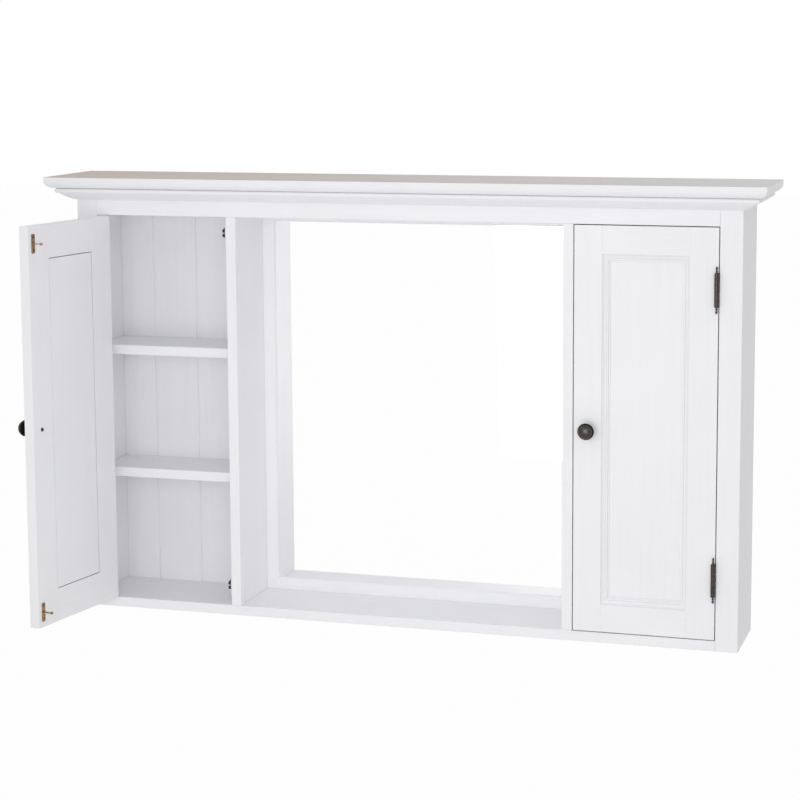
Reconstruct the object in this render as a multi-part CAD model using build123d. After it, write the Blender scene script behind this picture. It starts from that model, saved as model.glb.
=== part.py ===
"""Wall-hung bathroom mirror cabinet in painted wood.

A face-framed case carries a framed mirror in its middle niche and a cupboard with two
shelves at each side. Both cupboard doors hang on finial hinges, close on sprung
double roller catches and open with a round knob.

Every piece is first made in the bench frame: x from the cabinet's middle, y backwards
from the front of the face frame, z up from the bottom edge, in millimetres. What repeats
on the right is the mirror image of what is made on the left. The finished pieces are then
moved to the wall frame, whose origin is the middle of the back rail's face on the wall.
"""
import os
from math import asin, cos, radians, sin

from build123d import *

# Case
frame_width = 1444.0
total_height = 950.0
case_depth = 187.0
face_thickness = 22.0
stile_width = 46.0
cupboard_opening = 298.0
top_rail_height = 71.0
side_thickness = 22.0
partition_thickness = 22.0
floor_thickness = 21.0
ceiling_rise = 6.0
ceiling_thickness = 21.0
top_board_thickness = 12.0
back_rail_thickness = 22.0
eased_edge = 0.8
tenon_length = 12.0
tenon_thickness = 8.0
tenon_shoulder = 5.0
tenon_clearance = 0.1

# Shelves, housed in grooves at both ends
shelf_thickness = 21.0
shelf_tops = (306.0, 579.0)
shelf_front = 36.0
housing_depth = 5.0
housing_clearance = 0.1

# Matchboard backs of the cupboards
back_thickness = 10.0
board_pitch = 102.5
first_board_width = 76.0
narrowest_board = 20.0
vee_depth = 2.2
tongue_length = 5.0
tongue_thickness = 3.0
tongue_clearance = 0.2

# Crown moulding
crown_height = 50.0
crown_projection = 53.0
crown_lip = 7.0
ovolo_width = 16.0
ovolo_height = 17.0
bead_radius = 5.5
bead_inset = 1.0
lower_ovolo_width = 24.5
lower_ovolo_swell = 1.2
lower_ovolo_fillet = 1.6
lower_ovolo_toe = 2.5

# Hanging battens and their wall screws
batten_height = 18.0
batten_thickness = 22.0
wall_hole_radius = 3.25
wall_hole_spacing = 200.0
wall_hole_drop = 9.0

# Mirror
mirror_member_width = 27.0
mirror_frame_depth = 25.0
mirror_lip = 8.0
mirror_overlap = 8.0
mirror_chamfer = 2.5
glass_thickness = 4.0
backing_thickness = 3.0
glass_clearance = 1.0
pin_radius = 0.8
pin_length = 12.0
pin_embedded = 6.0
pins_per_long_side = 3

# Doors
door_gap = 2.0
door_thickness = 22.0
door_member = 70.0
door_rebate_width = 12.0
door_rebate_depth = 14.0
panel_lip = 4.0
panel_gap = 0.4
field_gap = 1.6
panel_arris = 0.7

# Planted moulding of the doors
moulding_width = 16.0
moulding_edge = 1.0
moulding_quirk = 1.2
moulding_slope_run = 7.6
moulding_bead_rise = 1.4
moulding_step = 0.8
moulding_bead_radius = 2.1
moulding_foot = 1.4
left_door_open = 99.6

# Hinges
hinge_from_end = 125.0
barrel_radius = 4.8
barrel_inset = 0.2
barrel_stand_off = 0.7
barrel_height = 67.6
knuckle_gap = 0.3
leaf_thickness = 0.9
leaf_reach = 18.0
leaf_notch = 0.3
leaf_clearance = 0.2
pin_core_radius = 2.0
pin_running_gap = 0.05
finial_height = 13.9
finial_radius = 2.3
finial_neck = 1.3
finial_collar = 3.4

# Wood screws
screw_radius = 1.5
screw_length = 14.0
screw_head_radius = 2.9
screw_head_height = 1.7
screw_slot_width = 0.7
screw_slot_depth = 0.5
screw_clearance = 0.03
hinge_screw_spacing = 24.0

# Knobs
knob_radius = 17.2
knob_from_edge = 30.0
knob_projection = 34.0
knob_levels = {"left": 440.5, "right": 445.0}
knob_rose_radius = 9.0
knob_rose_height = 2.5
knob_neck_radius = 5.2
knob_rim_height = 4.5
knob_step = 2.6
knob_dome_height = 7.5
knob_screw_radius = 2.0
knob_screw_head_radius = 4.0
knob_screw_head_height = 2.4
knob_screw_engagement = 10.0
knob_screw_clearance = 0.4

# Roller catches and their strikes
catch_from_edge = 18.5
catch_from_top = 36.0
catch_from_bottom = 32.0
roller_radius = 3.75
roller_length = 5.4
roller_gap = 2.0
roller_depth = 38.0
roller_bore_clearance = 0.1
arm_axle_radius = 1.2
arm_length = 20.0
arm_rise = 5.25
cheek_thickness = 0.8
cheek_radius = 2.9
cheek_gap = 0.15
catch_plate_thickness = 1.0
catch_plate_height = 40.0
catch_side_gap = 0.4
catch_back_gap = 5.0
pivot_radius = 1.5
pivot_clearance = 0.05
spring_radius = 2.5
catch_screw_spacing = 30.0
catch_screw_length = 24.0
strike_height = 40.0
strike_width = 11.0
strike_thickness = 1.2
spear_width = 5.4
spear_neck = 1.5
spear_head = 4.4
spear_shoulder = 2.6
spear_head_length = 5.4
strike_screw_spacing = 28.0

# Levels and places worked out from the sizes above
half_width = frame_width / 2
opening_left = -half_width + stile_width
opening_right = opening_left + cupboard_opening
partition_left = opening_right
niche_left = partition_left + partition_thickness
crown_foot = total_height - crown_height
top_board_under = total_height - top_board_thickness
opening_top = top_board_under - top_rail_height
ceiling_underside = opening_top + ceiling_rise
back_face = case_depth - back_thickness
mirror_face = case_depth - mirror_frame_depth
rail_middle = (ceiling_underside + ceiling_thickness + top_board_under) / 2
hinge_x = opening_left + barrel_radius + barrel_inset
hinge_y = -barrel_radius - barrel_stand_off
leaf_sink = max(0.0, leaf_thickness + (leaf_clearance - door_gap) / 2)
door_left_edge = opening_left + door_gap
door_right_edge = opening_right - door_gap
door_bottom = floor_thickness + door_gap
door_top = opening_top - door_gap
door_member_flat = door_member - door_rebate_width
door_recess = door_rebate_depth - panel_lip
hinge_levels = {"upper": door_top - hinge_from_end, "lower": door_bottom + hinge_from_end}
catch_levels = {"upper": door_top - catch_from_top, "lower": door_bottom + catch_from_bottom}
catch_x = opening_right - catch_from_edge
knob_x = door_right_edge - knob_from_edge
roller_rise = roller_radius + roller_gap / 2
pivot_y = roller_depth + arm_length
pivot_rise = roller_rise + arm_rise
wall_screw_z = ceiling_underside - wall_hole_drop

mirrored = Plane.YZ


def block(x0, x1, y0, y1, z0, z1):
    """A board between two corners."""
    return Pos((x0 + x1) / 2, (y0 + y1) / 2, (z0 + z1) / 2) * Box(x1 - x0, y1 - y0, z1 - z0)


def prism_z(points, z0, z1):
    """A plan outline in x and y, raised from z0 to z1."""
    face = make_face(Polyline(*points, close=True))
    return extrude(Pos(0, 0, z0) * face, amount=z1 - z0, dir=(0, 0, 1))


def prism_y(points, y0, y1):
    """A front outline in x and z, carried back from y0 to y1."""
    face = make_face(Polyline(*[(x, y0, z) for x, z in points], close=True))
    return extrude(face, amount=y1 - y0, dir=(0, 1, 0))


def rod(x, y, z, radius, length, direction):
    """A round bar that starts at a point and runs along a direction."""
    return Plane(origin=(x, y, z), z_dir=direction) * Pos(0, 0, length / 2) * Cylinder(radius, length)


def eased(part, edges, radius=eased_edge):
    """The part with some arrises softly rounded."""
    return fillet(edges, radius)


def long_edges(part, axis, wanted):
    """Edges along an axis whose middle passes a test."""
    return [edge for edge in part.edges().filter_by(axis) if wanted(edge.center())]


def countersunk(x, y, z, direction, length=screw_length, grow=0.0):
    """A countersunk wood screw whose flat head lies at a point and whose shank runs along a direction."""
    head = Pos(0, 0, screw_head_height / 2) * Cone(
        screw_head_radius + grow, screw_radius + grow, screw_head_height
    )
    shank_length = length - screw_head_height
    shank = Pos(0, 0, screw_head_height + shank_length / 2) * Cylinder(screw_radius + grow, shank_length)
    screw = head + shank
    if grow == 0.0:
        slot = Pos(0, 0, screw_slot_depth / 2) * Box(
            3 * screw_head_radius, screw_slot_width, screw_slot_depth
        )
        screw = screw - slot
    return Plane(origin=(x, y, z), z_dir=direction) * screw


def screw_hole(x, y, z, direction, length=screw_length):
    """The hole that a countersunk screw fills, with its clearance."""
    return countersunk(x, y, z, direction, length, screw_clearance)


def cut(part, tools):
    """The part with every tool taken away."""
    for tool in tools:
        part = part - tool
    return part


def side_panel():
    """The left side board, grooved for the shelves."""
    panel = block(-half_width, -half_width + side_thickness, face_thickness, case_depth, 0, top_board_under)
    grooves = [
        block(
            -half_width + side_thickness - housing_depth - housing_clearance,
            -half_width + side_thickness + 1,
            shelf_front - housing_clearance,
            back_face,
            top - shelf_thickness - housing_clearance,
            top + housing_clearance,
        )
        for top in shelf_tops
    ]
    return cut(panel, grooves)


def partition():
    """The upright between the left cupboard and the niche, notched for the top rail."""
    board = block(partition_left, niche_left, 0, case_depth, floor_thickness, ceiling_underside)
    board = board - block(
        partition_left - 1, niche_left + 1, -1, face_thickness, opening_top, ceiling_underside + 1
    )
    board = eased(board, long_edges(board, Axis.Z, lambda c: c.Y < 1))
    grooves = [
        block(
            partition_left - 1,
            partition_left + housing_depth + housing_clearance,
            shelf_front - housing_clearance,
            back_face,
            top - shelf_thickness - housing_clearance,
            top + housing_clearance,
        )
        for top in shelf_tops
    ]
    return cut(board, grooves)


def shelf(top):
    """One cupboard shelf, whose ends stand in the grooves."""
    board = block(
        -half_width + side_thickness - housing_depth,
        partition_left + housing_depth,
        shelf_front,
        back_face - housing_clearance,
        top - shelf_thickness,
        top,
    )
    front = long_edges(board, Axis.X, lambda c: c.Y < shelf_front + 1)
    return eased(board, front, 1.5)


def stile():
    """The left upright of the face frame, with its mortises for both rails."""
    post = block(-half_width, opening_left, 0, face_thickness, 0, top_board_under)
    outer = long_edges(post, Axis.Z, lambda c: c.Y < 1)
    post = eased(post, outer)
    return cut(post, [rail_tenon(level, tenon_clearance) for level in rail_levels()])


def rail_levels():
    """Lowest and highest z of the floor board and of the top rail."""
    return [(0.0, floor_thickness), (opening_top, top_board_under)]


def rail_tenon(level, grow=0.0):
    """The left tenon of a rail, or its mortise where it is grown."""
    low, high = level
    middle = face_thickness / 2
    return block(
        opening_left - tenon_length - grow,
        opening_left + (0.0 if grow == 0.0 else 1.0),
        middle - tenon_thickness / 2 - grow,
        middle + tenon_thickness / 2 + grow,
        low + tenon_shoulder - grow,
        high - tenon_shoulder + grow,
    )


def rail(level, opening_side):
    """A board between the stiles with tenons at both ends, rounded on its opening side."""
    low, high = level
    board = block(opening_left, -opening_left, 0, face_thickness, low, high)
    arris = long_edges(board, Axis.X, lambda c: c.Y < 1 and abs(c.Z - opening_side) < 1)
    board = eased(board, arris)
    tenon = rail_tenon(level)
    return board + tenon + mirror(tenon, about=mirrored)


def floor_board():
    """The floor, whose front edge shows between the stiles."""
    inner = half_width - side_thickness
    board = block(-inner, inner, face_thickness, case_depth, 0, floor_thickness)
    return board + rail(rail_levels()[0], floor_thickness)


def back_board_edges():
    """The x of each joint between matchboards, with both ends of the back."""
    edges = [-half_width + side_thickness, -half_width + side_thickness + first_board_width]
    while edges[-1] + board_pitch + narrowest_board < partition_left:
        edges.append(edges[-1] + board_pitch)
    return edges + [partition_left]


def back_board(x0, x1, is_first, is_last):
    """One matchboard with vee joints in front, a tongue at its right and a groove at its left."""
    middle = back_face + back_thickness / 2 + 0.5
    half_tongue = tongue_thickness / 2
    half_groove = half_tongue + tongue_clearance
    groove = tongue_length + tongue_clearance
    left = [(x0, case_depth), (x0, back_face)]
    if not is_first:
        left = [
            (x0, case_depth),
            (x0, middle + half_groove),
            (x0 + groove, middle + half_groove),
            (x0 + groove, middle - half_groove),
            (x0, middle - half_groove),
            (x0, back_face + vee_depth),
            (x0 + vee_depth, back_face),
        ]
    right = [(x1, back_face), (x1, case_depth)]
    if not is_last:
        right = [
            (x1 - vee_depth, back_face),
            (x1, back_face + vee_depth),
            (x1, middle - half_tongue),
            (x1 + tongue_length, middle - half_tongue),
            (x1 + tongue_length, middle + half_tongue),
            (x1, middle + half_tongue),
            (x1, case_depth),
        ]
    return prism_z(left + right, floor_thickness, ceiling_underside)


def wall_screw_xs():
    """The x of the two wall screw holes of the left cupboard."""
    middle = (-half_width + side_thickness + partition_left) / 2
    return [middle - wall_hole_spacing / 2, middle + wall_hole_spacing / 2]


def wall_holes():
    """Clearance holes for the wall screws through batten and back."""
    start = back_face - batten_thickness - 1
    return [
        rod(x, start, wall_screw_z, wall_hole_radius, case_depth - start + 1, (0, 1, 0))
        for x in wall_screw_xs()
    ]


def back_boards():
    """All matchboards behind the left cupboard."""
    edges = back_board_edges()
    last = len(edges) - 2
    boards = [
        back_board(edges[i], edges[i + 1], i == 0, i == last) for i in range(last + 1)
    ]
    return [cut(board, wall_holes()) for board in boards]


def batten():
    """The batten under the ceiling that the wall screws pull on."""
    board = block(
        -half_width + side_thickness,
        partition_left,
        back_face - batten_thickness,
        back_face,
        ceiling_underside - batten_height,
        ceiling_underside,
    )
    return cut(board, wall_holes())


def crown_outline():
    """The crown moulding's section as p outwards and z up, from the case outwards."""
    lip_z = total_height - crown_lip
    bead_out = crown_projection - ovolo_width - bead_inset
    ovolo_foot = lip_z - ovolo_height
    bead_z = ovolo_foot - bead_radius
    fillet_z = bead_z - bead_radius
    quarter = cos(radians(45))
    ovolo_centre = crown_projection - ovolo_width
    ovolo = ThreePointArc(
        (crown_projection, lip_z),
        (ovolo_centre + ovolo_width * quarter, lip_z - ovolo_height * quarter),
        (ovolo_centre, ovolo_foot),
    )
    bead = ThreePointArc(
        (bead_out - bead_radius, ovolo_foot),
        (bead_out, bead_z),
        (bead_out - bead_radius, fillet_z),
    )
    lower_start = lower_ovolo_width + lower_ovolo_toe
    lower_top = (lower_start, fillet_z - lower_ovolo_fillet)
    lower_end = (lower_ovolo_toe, crown_foot)
    lower_ovolo = SagittaArc(lower_top, lower_end, lower_ovolo_swell)
    lines = [
        Line((0, crown_foot), (0, total_height)),
        Line((0, total_height), (crown_projection, total_height)),
        Line((crown_projection, total_height), (crown_projection, lip_z)),
        ovolo,
        Line((ovolo_centre, ovolo_foot), (bead_out - bead_radius, ovolo_foot)),
        bead,
        Line((bead_out - bead_radius, fillet_z), (lower_start, fillet_z)),
        Line((lower_start, fillet_z), lower_top),
        lower_ovolo,
        Line(lower_end, (0, crown_foot)),
    ]
    return make_face(Curve() + lines)


def crown_front():
    """The front length of the crown, mitred at both ends."""
    reach = half_width + crown_projection
    section = Plane(origin=(-reach, 0, 0), x_dir=(0, -1, 0), z_dir=(-1, 0, 0)) * crown_outline()
    length = extrude(section, amount=2 * reach, dir=(1, 0, 0))
    far = crown_projection + 1
    keep = [
        (-half_width, 0),
        (half_width, 0),
        (half_width + far, -far),
        (-half_width - far, -far),
    ]
    return length & prism_z(keep, 0, total_height + 1)


def crown_return():
    """The left return of the crown, mitred at the front."""
    section = Plane(
        origin=(-half_width, -crown_projection, 0), x_dir=(-1, 0, 0), z_dir=(0, 1, 0)
    ) * crown_outline()
    length = extrude(section, amount=case_depth + crown_projection, dir=(0, 1, 0))
    far = crown_projection + 1
    keep = [
        (-half_width, 0),
        (-half_width - far, -far),
        (-half_width - far, case_depth),
        (-half_width, case_depth),
    ]
    return length & prism_z(keep, 0, total_height + 1)


def mirror_member_section():
    """Section of a mirror frame member: u from its outer edge inwards, y backwards."""
    glass_edge = mirror_member_width - mirror_overlap
    return [
        (0, mirror_face),
        (mirror_member_width - mirror_chamfer, mirror_face),
        (mirror_member_width, mirror_face + mirror_chamfer),
        (mirror_member_width, mirror_face + mirror_lip),
        (glass_edge, mirror_face + mirror_lip),
        (glass_edge, case_depth),
        (0, case_depth),
    ]


def mirror_frame_stile():
    """The left member of the mirror frame, mitred at both ends."""
    outline = [(niche_left + u, y) for u, y in mirror_member_section()]
    member = prism_z(outline, floor_thickness, ceiling_underside)
    w = mirror_member_width
    keep = [
        (niche_left, floor_thickness),
        (niche_left + w, floor_thickness + w),
        (niche_left + w, ceiling_underside - w),
        (niche_left, ceiling_underside),
    ]
    return member & prism_y(keep, mirror_face - 1, case_depth + 1)


def mirror_frame_rail(is_top):
    """The top or the bottom member of the mirror frame, mitred at both ends."""
    edge = ceiling_underside if is_top else floor_thickness
    inwards = -1 if is_top else 1
    points = [(niche_left, y, edge + inwards * u) for u, y in mirror_member_section()]
    section = make_face(Polyline(*points, close=True))
    member = extrude(section, amount=-2 * niche_left, dir=(1, 0, 0))
    w = mirror_member_width
    keep = [
        (niche_left, edge),
        (niche_left + w, edge + inwards * w),
        (-niche_left - w, edge + inwards * w),
        (-niche_left, edge),
    ]
    return member & prism_y(keep, mirror_face - 1, case_depth + 1)


def mirror_pane(front, thickness):
    """A flat sheet that lies in the mirror frame's rebate."""
    inset = mirror_member_width - mirror_overlap + glass_clearance
    return block(
        niche_left + inset,
        -niche_left - inset,
        front,
        front + thickness,
        floor_thickness + inset,
        ceiling_underside - inset,
    )


def mirror_pins():
    """Glazing pins driven into the rebate behind the backing."""
    behind = mirror_face + mirror_lip + glass_thickness + backing_thickness + pin_radius
    wall_x = niche_left + mirror_member_width - mirror_overlap
    low = floor_thickness + mirror_member_width - mirror_overlap
    high = ceiling_underside - mirror_member_width + mirror_overlap
    step_z = (high - low) / (pins_per_long_side + 1)
    step_x = -2 * wall_x / (pins_per_long_side + 1)
    pins = []
    for i in range(1, pins_per_long_side + 1):
        pins.append(rod(wall_x - pin_embedded, behind, low + i * step_z, pin_radius, pin_length, (1, 0, 0)))
        pins.append(rod(-wall_x + pin_embedded, behind, low + i * step_z, pin_radius, pin_length, (-1, 0, 0)))
        pins.append(rod(wall_x + i * step_x, behind, low - pin_embedded, pin_radius, pin_length, (0, 0, 1)))
        pins.append(rod(wall_x + i * step_x, behind, high + pin_embedded, pin_radius, pin_length, (0, 0, -1)))
    return pins


def member_section():
    """Section of a door member: u from its outer edge inwards, y backwards from the face."""
    outline = [
        (0, 0),
        (door_member_flat, 0),
        (door_member_flat, door_rebate_depth),
        (door_member, door_rebate_depth),
        (door_member, door_thickness),
        (0, door_thickness),
    ]
    return make_face(Polyline(*outline, close=True))


def moulding_section():
    """Section of the planted moulding: u from the door's outer edge, y backwards from the face."""
    start = door_member_flat
    slope_start = start + moulding_edge
    slope_end = slope_start + moulding_slope_run
    bead_y = door_recess - moulding_foot - moulding_bead_rise
    slope_foot = bead_y - moulding_step
    bead_end = slope_end + 2 * moulding_bead_radius
    toe = start + moulding_width
    quarter = cos(radians(45))
    slope = ThreePointArc(
        (slope_start, moulding_quirk),
        (
            slope_start + moulding_slope_run * (1 - quarter) * 1.2,
            moulding_quirk + (slope_foot - moulding_quirk) * quarter * 0.8,
        ),
        (slope_end, slope_foot),
    )
    bead = ThreePointArc(
        (slope_end, bead_y),
        (slope_end + moulding_bead_radius, bead_y - moulding_bead_radius),
        (bead_end, bead_y),
    )
    lines = [
        Polyline((start, door_recess), (start, moulding_quirk), (slope_start, moulding_quirk)),
        slope,
        Line((slope_end, slope_foot), (slope_end, bead_y)),
        bead,
        Polyline(
            (bead_end, bead_y),
            (bead_end, door_recess - moulding_foot),
            (toe, door_recess - moulding_foot),
            (toe, door_recess),
            (start, door_recess),
        ),
    ]
    return make_face(Curve() + lines)


def upright(section, is_hinge_side):
    """A section carried up the full height of the door at one of its sides."""
    edge = door_left_edge if is_hinge_side else door_right_edge
    if not is_hinge_side:
        section = mirror(section, about=Plane.YZ)
    return extrude(Pos(edge, 0, door_bottom) * section, amount=door_top - door_bottom, dir=(0, 0, 1))


def crossways(section, is_top):
    """A section carried across the full width of the door at its top or bottom."""
    edge = door_top if is_top else door_bottom
    sign = -1 if is_top else 1
    plane = Plane(origin=(door_left_edge, 0, edge), x_dir=(0, 0, sign), z_dir=(-sign, 0, 0))
    return extrude(plane * section, amount=door_right_edge - door_left_edge, dir=(1, 0, 0))


def door_moulding():
    """The four mitred lengths planted in the rebate around the panel."""
    inset = door_member_flat
    across = (door_right_edge - door_left_edge) / 2 - inset
    lengths = []
    for is_hinge_side in (True, False):
        edge = door_left_edge if is_hinge_side else door_right_edge
        sign = 1 if is_hinge_side else -1
        keep = [
            (edge + sign * inset, door_bottom + inset),
            (edge + sign * (inset + across), door_bottom + inset + across),
            (edge + sign * (inset + across), door_top - inset - across),
            (edge + sign * inset, door_top - inset),
        ]
        lengths.append(upright(moulding_section(), is_hinge_side) & prism_y(keep, -1, door_thickness))
    for is_top in (True, False):
        edge = door_top if is_top else door_bottom
        sign = -1 if is_top else 1
        keep = [
            (door_left_edge + inset, edge + sign * inset),
            (door_right_edge - inset, edge + sign * inset),
            (door_left_edge + inset + across, edge + sign * (inset + across)),
        ]
        lengths.append(crossways(moulding_section(), is_top) & prism_y(keep, -1, door_thickness))
    return lengths


def door_stile(is_hinge_side):
    """A full-height door member with its mortises."""
    edge = door_left_edge if is_hinge_side else door_right_edge
    sign = 1 if is_hinge_side else -1
    member = upright(member_section(), is_hinge_side)
    outer = long_edges(member, Axis.Z, lambda c: abs(c.X - edge) < 0.5)
    member = eased(member, outer)
    flat, inner = sorted([edge + sign * door_member_flat, edge + sign * (door_member + 1)])
    ends = ((door_bottom - 1, door_bottom + door_member_flat), (door_top - door_member_flat, door_top + 1))
    for low, high in ends:
        member = member - block(flat, inner, -1, door_thickness + 1, low, high)
    laps = ((door_bottom, door_bottom + door_member), (door_top - door_member, door_top))
    for low, high in laps:
        member = member - block(flat, inner, door_rebate_depth - 1, door_thickness + 1, low, high)
    return cut(member, [door_tenon((is_hinge_side, is_top), tenon_clearance) for is_top in (True, False)])


def door_tenon(place, grow=0.0):
    """The tenon of a door rail in a stile, or its mortise where it is grown."""
    is_hinge_side, is_top = place
    x = door_left_edge + door_member_flat if is_hinge_side else door_right_edge - door_member_flat
    sign = -1 if is_hinge_side else 1
    middle = door_thickness / 2
    end = door_top if is_top else door_bottom
    inwards = -1 if is_top else 1
    zs = sorted([end + inwards * tenon_shoulder * 2, end + inwards * (door_member_flat - tenon_shoulder)])
    xs = sorted([x - sign * (1.0 if grow else 0.0), x + sign * (tenon_length + grow)])
    return block(
        xs[0], xs[1],
        middle - tenon_thickness / 2 - grow, middle + tenon_thickness / 2 + grow,
        zs[0] - grow, zs[1] + grow,
    )


def door_rail(is_top):
    """The top or the bottom door member between the stiles."""
    edge = door_top if is_top else door_bottom
    member = crossways(member_section(), is_top)
    outer = long_edges(member, Axis.X, lambda c: abs(c.Z - edge) < 0.5)
    member = eased(member, outer)
    member = member & block(
        door_left_edge + door_member_flat, door_right_edge - door_member_flat,
        -1, door_thickness + 1, door_bottom, door_top,
    )
    for is_hinge_side in (True, False):
        member = member + door_tenon((is_hinge_side, is_top))
    return member


def door_panel():
    """The panel: its lip lies in the rebate and its back is flush with the door's back."""
    inset = door_member + field_gap
    lip_inset = door_member_flat + panel_gap
    field = block(
        door_left_edge + inset, door_right_edge - inset,
        door_recess, door_thickness,
        door_bottom + inset, door_top - inset,
    )
    field = chamfer(field.faces().sort_by(Axis.Y)[-1].edges(), panel_arris)
    lip = block(
        door_left_edge + lip_inset, door_right_edge - lip_inset,
        door_recess, door_rebate_depth,
        door_bottom + lip_inset, door_top - lip_inset,
    )
    return field + lip


def knuckle(z0, z1):
    """One hinge knuckle around the axis, bored for the pin."""
    tube = rod(hinge_x, hinge_y, z0, barrel_radius, z1 - z0, (0, 0, 1))
    tube = fillet(tube.edges().filter_by(GeomType.CIRCLE), 0.4)
    return tube


def hinge_leaf(middle, is_door):
    """A hinge leaf in the door gap, rolled into its knuckle: the door has the upper one."""
    half = barrel_height / 2
    start = leaf_start(is_door)
    if is_door:
        own = (middle + knuckle_gap / 2, middle + half)
        other = (middle - half, middle + knuckle_gap / 2)
    else:
        own = (middle - half, middle - knuckle_gap / 2)
        other = (middle - knuckle_gap / 2, middle + half)
    plate = block(start, start + leaf_thickness, hinge_y, leaf_reach, *own)
    plate = plate + block(start, start + leaf_thickness, leaf_notch, leaf_reach, *other)
    leaf = plate + knuckle(*own)
    bore_radius = pin_core_radius + (pin_running_gap if is_door else 0.0)
    leaf = leaf - rod(hinge_x, hinge_y, own[0] - 1, bore_radius, own[1] - own[0] + 2, (0, 0, 1))
    return cut(leaf, leaf_screws(middle, is_door, screw_hole))


def leaf_start(is_door):
    """The x where a hinge leaf begins: on the wood, or let in where the gap is too tight for two."""
    if is_door:
        return opening_left + door_gap - leaf_thickness + leaf_sink
    return opening_left - leaf_sink


def leaf_recess(middle, is_door):
    """The wood that a let-in leaf takes, none where the gap holds both leaves."""
    if leaf_sink == 0.0:
        return []
    half = barrel_height / 2
    start = leaf_start(is_door)
    return [block(start, start + leaf_thickness, -1, leaf_reach, middle - half, middle + half)]


def leaf_screws(middle, is_door, make):
    """Screws, or their holes, of one hinge leaf."""
    direction = (1, 0, 0) if is_door else (-1, 0, 0)
    x = leaf_start(is_door) + (0.0 if is_door else leaf_thickness)
    y = leaf_reach * 0.55
    return [make(x, y, middle + k * hinge_screw_spacing, direction) for k in (-1, 0, 1)]


def hinge_pin(middle):
    """The hinge pin with a turned finial at each end."""
    half = barrel_height / 2
    outline = [
        (0, 0),
        (pin_core_radius, 0),
        (pin_core_radius, half + 0.15),
        (finial_collar, half + 0.15),
        (finial_collar, half + 1.0),
        (finial_neck, half + 2.6),
        (finial_radius * 0.95, half + 4.2),
        (finial_radius * 0.95, half + 5.2),
        (finial_neck, half + 6.4),
        (finial_neck, half + 7.4),
        (finial_radius, half + 9.6),
        (finial_radius * 0.8, half + 12.2),
        (0.5, half + finial_height),
        (0, half + finial_height),
    ]
    face = make_face(Polyline(*[(r, 0, z) for r, z in outline], close=True))
    upper = revolve(face, axis=Axis.Z)
    whole = upper + mirror(upper, about=Plane.XY)
    return Pos(hinge_x, hinge_y, middle) * whole


def knob(level):
    """The mushroom knob: rose, waist, stepped rim and a low dome."""
    rim_start = knob_projection - knob_dome_height - knob_step - knob_rim_height
    ring = knob_radius - knob_step
    waist = ThreePointArc(
        (knob_rose_radius, knob_rose_height),
        (knob_neck_radius, (knob_rose_height + rim_start) / 2 - 1.0),
        (knob_radius - 1.5, rim_start),
    )
    rim = ThreePointArc(
        (knob_radius - 1.5, rim_start),
        (knob_radius, rim_start + knob_rim_height / 2),
        (knob_radius - 1.5, rim_start + knob_rim_height),
    )
    dome_start = rim_start + knob_rim_height + knob_step * 0.3
    rise = knob_projection - dome_start
    sphere = (ring**2 + rise**2) / (2 * rise)
    half_angle = asin(ring / sphere) / 2
    dome = ThreePointArc(
        (ring, dome_start),
        (sphere * sin(half_angle), knob_projection - sphere * (1 - cos(half_angle))),
        (0, knob_projection),
    )
    lines = [
        Polyline((0, 0), (knob_rose_radius, 0), (knob_rose_radius, knob_rose_height)),
        waist,
        rim,
        Polyline(
            (knob_radius - 1.5, rim_start + knob_rim_height),
            (ring, rim_start + knob_rim_height),
            (ring, dome_start),
        ),
        dome,
        Line((0, knob_projection), (0, 0)),
    ]
    turned = revolve(Plane.XZ * make_face(Curve() + lines), axis=Axis.Z)
    placed = Plane(origin=(knob_x, 0, level), z_dir=(0, -1, 0)) * turned
    thread = rod(knob_x, 1, level, knob_screw_radius, knob_screw_engagement + 1, (0, -1, 0))
    return placed - thread


def knob_screw(level):
    """The machine screw that holds the knob from inside the door."""
    head = rod(knob_x, door_thickness, level, knob_screw_head_radius, knob_screw_head_height, (0, 1, 0))
    head = fillet(head.faces().sort_by(Axis.Y)[-1].edges(), 1.2)
    slot = block(
        knob_x - 2 * knob_screw_head_radius, knob_x + 2 * knob_screw_head_radius,
        door_thickness + knob_screw_head_height - 0.8, door_thickness + knob_screw_head_height + 1,
        level - 0.5, level + 0.5,
    )
    shank = rod(
        knob_x, door_thickness, level, knob_screw_radius,
        door_thickness + knob_screw_engagement, (0, -1, 0),
    )
    return (head - slot) + shank


def knob_hole(level):
    """The clearance hole for the knob's screw through the door."""
    return rod(knob_x, -1, level, knob_screw_radius + knob_screw_clearance, door_thickness + 2, (0, 1, 0))


def strike(level):
    """A strike plate on the door's back with a spear that enters the catch."""
    front = door_thickness
    plate = block(
        catch_x - strike_width / 2, catch_x + strike_width / 2,
        front, front + strike_thickness,
        level - strike_height / 2, level + strike_height / 2,
    )
    corners = long_edges(plate, Axis.Y, lambda c: True)
    plate = fillet(corners, 2.0)
    shoulder = roller_depth + spear_shoulder
    tip = shoulder + spear_head_length
    outline = [
        (front + strike_thickness, -spear_neck / 2),
        (shoulder, -spear_neck / 2),
        (shoulder + 0.8, -spear_head / 2),
        (tip, -0.4),
        (tip, 0.4),
        (shoulder + 0.8, spear_head / 2),
        (shoulder, spear_neck / 2),
        (front + strike_thickness, spear_neck / 2),
    ]
    face = make_face(Polyline(*[(catch_x - spear_width / 2, y, level + z) for y, z in outline], close=True))
    spear = extrude(face, amount=spear_width, dir=(1, 0, 0))
    return cut(plate + spear, strike_screws(level, screw_hole))


def strike_screws(level, make):
    """Screws, or their holes, of one strike."""
    y = door_thickness + strike_thickness
    return [
        make(catch_x, y, level + k * strike_screw_spacing / 2, (0, -1, 0)) for k in (-1, 1)
    ]


def catch_span():
    """Half the outside width of a catch along x."""
    return roller_length / 2 + cheek_gap + cheek_thickness + catch_side_gap + catch_plate_thickness


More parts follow.
